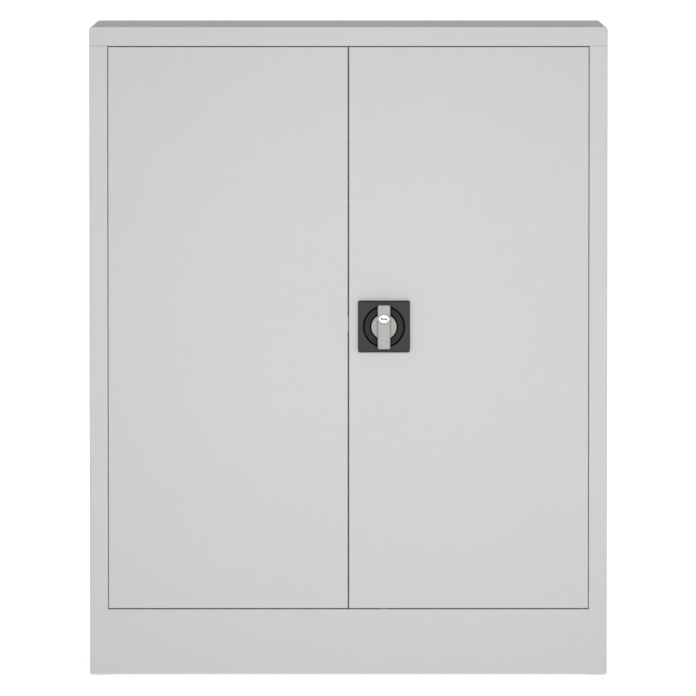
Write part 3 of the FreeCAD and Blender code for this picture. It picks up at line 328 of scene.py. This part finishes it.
def zinc_plate(name, colour, roughness):
    """Zinc-plated steel: a faint mottle of crystals with a cool cast."""
    material, shader = start_material(name, colour, 1.0, roughness)
    mottle = object_noise(material, 6 * MM, 5.0)
    crystals = object_noise(material, 1.6 * MM, 4.0)
    haze = object_noise(material, 10 * MM, 4.0)
    vary_colour(material, shader, mottle, colour, 0.14)
    add_bump(material, shader, crystals, 0.015 * MM)
    vary_gloss(material, shader, haze, roughness * 0.75, roughness * 1.3)
    return material


def dark_steel():
    """Phosphated steel: nearly black, with a dry crystalline surface."""
    colour = (0.055, 0.055, 0.057)
    material, shader = start_material("dark_phosphated_steel", colour, 0.6, 0.55)
    mottle = object_noise(material, 2 * MM, 4.0)
    crystals = object_noise(material, 0.6 * MM, 3.0)
    haze = object_noise(material, 3 * MM, 3.0)
    vary_colour(material, shader, mottle, colour, 0.2)
    add_bump(material, shader, crystals, 0.01 * MM)
    vary_gloss(material, shader, haze, 0.48, 0.66)
    return material


def floor_paint(glow):
    """Pale matt paint of the studio floor, which gives off a little light."""
    material, shader = start_material("studio_floor_paint", FLOOR_WHITE, 0.0, 0.9)
    vary_colour(material, shader, object_noise(material, 0.5, 2.0), FLOOR_WHITE, 0.005)
    shader.inputs["Specular IOR Level"].default_value = 0.0
    shader.inputs["Emission Color"].default_value = (1.0, 1.0, 1.0, 1.0)
    shader.inputs["Emission Strength"].default_value = glow
    return material


MATERIALS = {}


def make_materials(finish):
    """Fill the table of finishes, one for each material slot."""
    MATERIALS["grey_coat"] = powder_coat(finish)
    MATERIALS["black_plastic"] = moulded_plastic("black_moulded_plastic", finish.plastic_colour, 0.46)
    MATERIALS["satin_zinc"] = cast_zinc(finish)
    MATERIALS["nickel"] = nickel_plate(finish)
    MATERIALS["zinc_plate"] = zinc_plate("zinc_plated_steel", (0.52, 0.54, 0.57), 0.38)
    MATERIALS["white_nylon"] = moulded_plastic("natural_nylon", (0.72, 0.71, 0.66), 0.4)
    MATERIALS["rubber"] = moulded_plastic("black_rubber", (0.018, 0.018, 0.018), 0.75, 0.8 * MM)
    MATERIALS["dark_steel"] = dark_steel()


def coat(obj, slot):
    """Give an object the one material of a slot."""
    if obj.material_slots:
        for holder in obj.material_slots:
            holder.material = MATERIALS[slot]
    else:
        obj.data.materials.append(MATERIALS[slot])


# --- tools for meshes --------------------------------------------------------------------
def add_piece(name, mesh, slot, body, stands_for=()):
    """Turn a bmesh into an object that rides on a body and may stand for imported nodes."""
    data = bpy.data.meshes.new(name)
    mesh.to_mesh(data)
    mesh.free()
    piece = bpy.data.objects.new(name, data)
    bpy.context.scene.collection.objects.link(piece)
    coat(piece, slot)
    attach(piece, body)
    if stands_for:
        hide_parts(*stands_for)
    return piece


def add_modelled_piece(name, mesh, slot, body, stands_for=()):
    """The same for a mesh modelled here, whose faces are first turned outwards."""
    bmesh.ops.recalc_face_normals(mesh, faces=mesh.faces)
    return add_piece(name, mesh, slot, body, stands_for)


def smooth_by_angle(data, degrees):
    """Shade smooth except across edges sharper than an angle."""
    data.shade_smooth()
    mesh = bmesh.new()
    mesh.from_mesh(data)
    for edge in mesh.edges:
        if len(edge.link_faces) != 2 or edge.calc_face_angle(0.0) > math.radians(degrees):
            edge.smooth = False
    mesh.to_mesh(data)
    mesh.free()


def smooth_copy(node):
    """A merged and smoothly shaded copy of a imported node, which takes its place."""
    mesh = bmesh.new()
    mesh.from_mesh(NODES[node].data)
    bmesh.ops.remove_doubles(mesh, verts=mesh.verts, dist=MERGE_WITHIN)
    piece = add_piece(node + "_finished", mesh, SLOT_OF[node], BODY_OF[node], (node,))
    smooth_by_angle(piece.data, SMOOTH_UNDER)
    return piece


def soften_edges(mesh, edges, width):
    """Round edges with two narrow facets."""
    bmesh.ops.bevel(mesh, geom=edges, offset=width, segments=2, profile=BEVEL_PROFILE,
                    affect="EDGES", material=-1)


# --- operators: one for each piece or group ----------------------------------------------
class CABINET_OT_materials(bpy.types.Operator):
    """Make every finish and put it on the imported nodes"""
    bl_idname = "cabinet.materials"
    bl_label = "Finishes"

    def execute(self, context):
        make_materials(context.scene.cabinet_finish)
        for node, obj in NODES.items():
            coat(obj, SLOT_OF[node])
        return {"FINISHED"}


class CABINET_OT_sheet_metal(bpy.types.Operator):
    """Show the folded panels with smooth folds"""
    bl_idname = "cabinet.sheet_metal"
    bl_label = "Folded panels"

    def execute(self, context):
        for node in SHEET_METAL:
            smooth_copy(node)
        return {"FINISHED"}


class CABINET_OT_lock_trim(bpy.types.Operator):
    """Show the lock's rosette, lever, cylinder and keeper with smooth curves"""
    bl_idname = "cabinet.lock_trim"
    bl_label = "Lock trim"

    def execute(self, context):
        for node in LOCK_TRIM:
            smooth_copy(node)
        rosette = bpy.data.objects["lock_rosette_finished"]
        rosette.material_slots[0].material = rosette_plastic(context.scene.cabinet_finish)
        keeper = smooth_copy("keeper_plate")
        keeper.material_slots[0].material = zinc_plate("bright_zinc_plate", (0.68, 0.69, 0.70), 0.16)
        return {"FINISHED"}


class CABINET_OT_fittings(bpy.types.Operator):
    """Show the rods, pins, screws, bushes and other fittings with smooth curves"""
    bl_idname = "cabinet.fittings"
    bl_label = "Small fittings"

    def execute(self, context):
        for node in FITTINGS:
            smooth_copy(node)
        return {"FINISHED"}


class CABINET_OT_keyway_shade_shutter(bpy.types.Operator):
    """Dark steel plate just inside the keyway of the lock cylinder, shaped as a sprung dust shutter, that paints
    the shade in the keyway's depth
    """
    bl_idname = "cabinet.keyway_shutter"
    bl_label = "Keyway shade shutter"

    def execute(self, context):
        mesh = bmesh.new()
        bmesh.ops.create_cube(mesh, size=1.0)
        bmesh.ops.scale(mesh, vec=SHADE_SHUTTER_SIZE, verts=mesh.verts)
        front = min(mesh.faces, key=lambda face: face.calc_center_median().y)
        bmesh.ops.inset_region(mesh, faces=[front], thickness=SHADE_SHUTTER_RIM, depth=-SHADE_SHUTTER_HOLLOW,
                               use_even_offset=True)
        sharp = [edge for edge in mesh.edges if edge.calc_face_angle(0.0) > 0.9]
        soften_edges(mesh, sharp, SHADE_SHUTTER_EDGE)
        face_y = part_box("lock_cylinder_plug")[0].y
        place = (CYLINDER_AXIS.x, face_y + SHADE_SHUTTER_SUNK + SHADE_SHUTTER_SIZE[1] / 2, CYLINDER_AXIS.z)
        bmesh.ops.translate(mesh, vec=place, verts=mesh.verts)
        # painted shade: the dark steel plate darkens the keyway
        add_modelled_piece("keyway_shade_shutter", mesh, "dark_steel", "cylinder_plug")
        return {"FINISHED"}


class CABINET_OT_plinth_welds(bpy.types.Operator):
    """Welds ground flush, and coated over, between the plinth and the side panels"""
    bl_idname = "cabinet.plinth_welds"
    bl_label = "Plinth welds"

    def execute(self, context):
        low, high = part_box("plinth_panel")
        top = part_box("right_door_panel")[0].z - DOOR_GAP - PLINTH_FOLD
        width, depth = WELD_SECTION
        mesh = bmesh.new()
        for side in (-1, 1):
            bead = bmesh.ops.create_cube(mesh, size=1.0)["verts"]
            bmesh.ops.scale(mesh, vec=(width, depth, top - low.z), verts=bead)
            place = (side * (high.x + WELD_ASIDE), low.y + WELD_SUNK + depth / 2, (top + low.z) / 2)
            bmesh.ops.translate(mesh, vec=place, verts=bead)
        soften_edges(mesh, list(mesh.edges), WELD_EDGE)
        add_modelled_piece("plinth_seam_welds", mesh, "grey_coat", "cabinet")
        return {"FINISHED"}


def spin_profile(mesh, points, axis):
    """Turn a line of (radius, height) points once round an upright axis."""
    verts = [mesh.verts.new((axis.x + radius, axis.y, height)) for radius, height in points]
    edges = [mesh.edges.new(pair) for pair in zip(verts, verts[1:])]
    bmesh.ops.spin(mesh, geom=verts + edges, cent=(axis.x, axis.y, 0.0), axis=(0.0, 0.0, 1.0),
                   angle=math.tau, steps=STEPS_ROUND, use_merge=True)
    bmesh.ops.remove_doubles(mesh, verts=mesh.verts, dist=MERGE_WITHIN / 10)


def sink_hexagon_socket(mesh, axis, top, radius):
    """Close an open turned top with a rim and a blind hexagon socket."""
    rim = [edge for edge in mesh.edges if len(edge.link_faces) == 1]
    ring = bmesh.ops.create_circle(mesh, segments=6, radius=radius)["verts"]
    bmesh.ops.translate(mesh, vec=(axis.x, axis.y, top), verts=ring)
    mouth = [edge for edge in mesh.edges if edge.verts[0] in ring]
    bmesh.ops.bridge_loops(mesh, edges=rim + mouth)
    down = bmesh.ops.extrude_edge_only(mesh, edges=mouth)["geom"]
    floor = [part for part in down if isinstance(part, bmesh.types.BMVert)]
    bmesh.ops.translate(mesh, vec=(0.0, 0.0, -SOCKET_DEEP), verts=floor)
    bmesh.ops.contextual_create(mesh, geom=floor)


def wind_thread(mesh, axis, core, crest, top):
    """Wind a ridge round the screw's core, from the thread's start nearly to its top."""
    turns = int((top - THREAD_END - THREAD_START) / THREAD_PITCH)
    first = THREAD_START + THREAD_LEAD
    root = core - RIDGE_SUNK
    ridge = [(root, -RIDGE_ROOT), (crest, -RIDGE_CREST), (crest, RIDGE_CREST), (root, RIDGE_ROOT)]
    verts = [mesh.verts.new((axis.x + radius, axis.y, first + height)) for radius, height in ridge]
    edges = [mesh.edges.new((verts[i - 1], verts[i])) for i in (1, 2, 3, 0)]
    bmesh.ops.spin(mesh, geom=verts + edges, cent=(axis.x, axis.y, 0.0), axis=(0.0, 0.0, 1.0),
                   dvec=(0.0, 0.0, THREAD_PITCH / STEPS_PER_TURN), angle=math.tau * turns,
                   steps=STEPS_PER_TURN * turns, use_merge=False)
    ends = [edge for edge in mesh.edges if len(edge.link_faces) == 1]
    bmesh.ops.holes_fill(mesh, edges=ends, sides=8)


def make_foot_screw(foot):
    """Levelling screw with a real helical thread and a hexagon socket in its top."""
    node = "foot_screw_" + foot
    low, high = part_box(node)
    axis = (low + high) / 2
    disc = (high.x - low.x) / 2
    crest = disc - SCREW_INSIDE
    core = crest - THREAD_DEEP
    neck = crest - SCREW_NECK
    shoulder = low.z + SCREW_FOOT
    mesh = bmesh.new()
    spin_profile(mesh, [(0.0, low.z), (disc - FOOT_CHAMFER, low.z), (disc, low.z + FOOT_CHAMFER),
                        (disc, shoulder), (neck, shoulder), (neck, THREAD_START),
                        (core, THREAD_START), (core, high.z - TIP_CHAMFER),
                        (core - TIP_CHAMFER, high.z)], axis)
    sink_hexagon_socket(mesh, axis, high.z, crest - SOCKET_WALL)
    wind_thread(mesh, axis, core, crest, high.z)
    piece = add_modelled_piece(node + "_finished", mesh, SLOT_OF[node], BODY_OF[node], (node,))
    smooth_by_angle(piece.data, SMOOTH_UNDER)


class CABINET_OT_foot_screws(bpy.types.Operator):
    """Cut a thread on each levelling foot's screw"""
    bl_idname = "cabinet.foot_screws"
    bl_label = "Threaded foot screws"

    def execute(self, context):
        for foot in FEET:
            make_foot_screw(foot)
        return {"FINISHED"}


# --- stage -------------------------------------------------------------------------------
def make_floor(settings):
    """Wide pale floor under the cabinet."""
    mesh = bmesh.new()
    bmesh.ops.create_grid(mesh, x_segments=1, y_segments=1, size=FLOOR_HALF)
    data = bpy.data.meshes.new("studio_floor")
    mesh.to_mesh(data)
    mesh.free()
    floor = bpy.data.objects.new("studio_floor", data)
    bpy.context.scene.collection.objects.link(floor)
    data.materials.append(floor_paint(settings.floor_glow))


def make_surround(settings):
    """Even white studio walls that fade into a greyer ceiling."""
    world = bpy.data.worlds.new("studio_surround")
    world.use_nodes = True
    tree = world.node_tree
    background = tree.nodes["Background"]
    background.inputs["Color"].default_value = (1.0, 1.0, 1.0, 1.0)
    direction = tree.nodes.new("ShaderNodeTexCoord")
    split = tree.nodes.new("ShaderNodeSeparateXYZ")
    height = tree.nodes.new("ShaderNodeMapRange")
    height.interpolation_type = "SMOOTHSTEP"
    height.inputs["From Min"].default_value = SURROUND_FADE[0]
    height.inputs["From Max"].default_value = SURROUND_FADE[1]
    height.inputs["To Min"].default_value = settings.horizon_level
    height.inputs["To Max"].default_value = settings.ceiling_level
    tree.links.new(direction.outputs["Generated"], split.inputs["Vector"])
    tree.links.new(split.outputs["Z"], height.inputs["Value"])
    tree.links.new(height.outputs["Result"], background.inputs["Strength"])
    bpy.context.scene.world = world


def make_key_light(settings):
    """Large soft light in front of the doors."""
    data = bpy.data.lights.new("front_key", "AREA")
    data.shape = "RECTANGLE"
    data.size, data.size_y = KEY_SIZE
    data.energy = settings.key_power
    light = bpy.data.objects.new("front_key", data)
    light.location = (KEY_ASIDE, FRONT_Y - KEY_AWAY, KEY_HEIGHT)
    light.rotation_euler = Vector((0.0, 1.0, 0.0)).to_track_quat("-Z", "Y").to_euler()
    bpy.context.scene.collection.objects.link(light)


def make_camera(settings):
    """Long lens, a little above the cabinet's middle, that looks at the doors."""
    data = bpy.data.cameras.new("studio_camera")
    camera = bpy.data.objects.new("studio_camera", data)
    bpy.context.scene.collection.objects.link(camera)
    place = Vector((settings.camera_side, FRONT_Y - settings.camera_distance, settings.camera_height))
    target = Vector((settings.camera_side, FRONT_Y, settings.aim_height))
    camera.location = place
    camera.rotation_euler = (target - place).to_track_quat("-Z", "Y").to_euler()
    data.sensor_width = SENSOR_WIDTH
    data.lens = SENSOR_WIDTH * (target - place).length / settings.view_width
    data.clip_start, data.clip_end = VIEW_RANGE
    bpy.context.scene.camera = camera


class CABINET_OT_stage(bpy.types.Operator):
    """Make the pale floor, the soft studio light and the camera"""
    bl_idname = "cabinet.stage"
    bl_label = "Stage"

    def execute(self, context):
        settings = context.scene.cabinet_stage
        make_floor(settings)
        make_surround(settings)
        make_key_light(settings)
        make_camera(settings)
        context.scene.view_settings.view_transform = "Standard"
        return {"FINISHED"}


class CABINET_PT_panel(bpy.types.Panel):
    """Sizes, colours and steps of the cabinet"""
    bl_label = "Steel cabinet"
    bl_idname = "CABINET_PT_panel"
    bl_space_type = "VIEW_3D"
    bl_region_type = "UI"
    bl_category = "Cabinet"

    def draw(self, context):
        for group in (context.scene.cabinet_finish, context.scene.cabinet_stage):
            for prop in group.bl_rna.properties:
                if prop.identifier not in ("rna_type", "name"):
                    self.layout.prop(group, prop.identifier)
        for operator in OPERATORS:
            self.layout.operator(operator.bl_idname)


OPERATORS = (CABINET_OT_materials, CABINET_OT_sheet_metal, CABINET_OT_lock_trim,
             CABINET_OT_fittings, CABINET_OT_keyway_shade_shutter, CABINET_OT_plinth_welds,
             CABINET_OT_foot_screws, CABINET_OT_stage)
CLASSES = (CabinetFinish, StageSettings) + OPERATORS + (CABINET_PT_panel,)


def register():
    for cls in CLASSES:
        bpy.utils.register_class(cls)
    bpy.types.Scene.cabinet_finish = bpy.props.PointerProperty(type=CabinetFinish)
    bpy.types.Scene.cabinet_stage = bpy.props.PointerProperty(type=StageSettings)


def unregister():
    del bpy.types.Scene.cabinet_stage
    del bpy.types.Scene.cabinet_finish
    for cls in reversed(CLASSES):
        bpy.utils.unregister_class(cls)


def main():
    register()
    for operator in OPERATORS:
        group, name = operator.bl_idname.split(".")
        getattr(getattr(bpy.ops, group), name)()


if __name__ == "__main__":
    main()
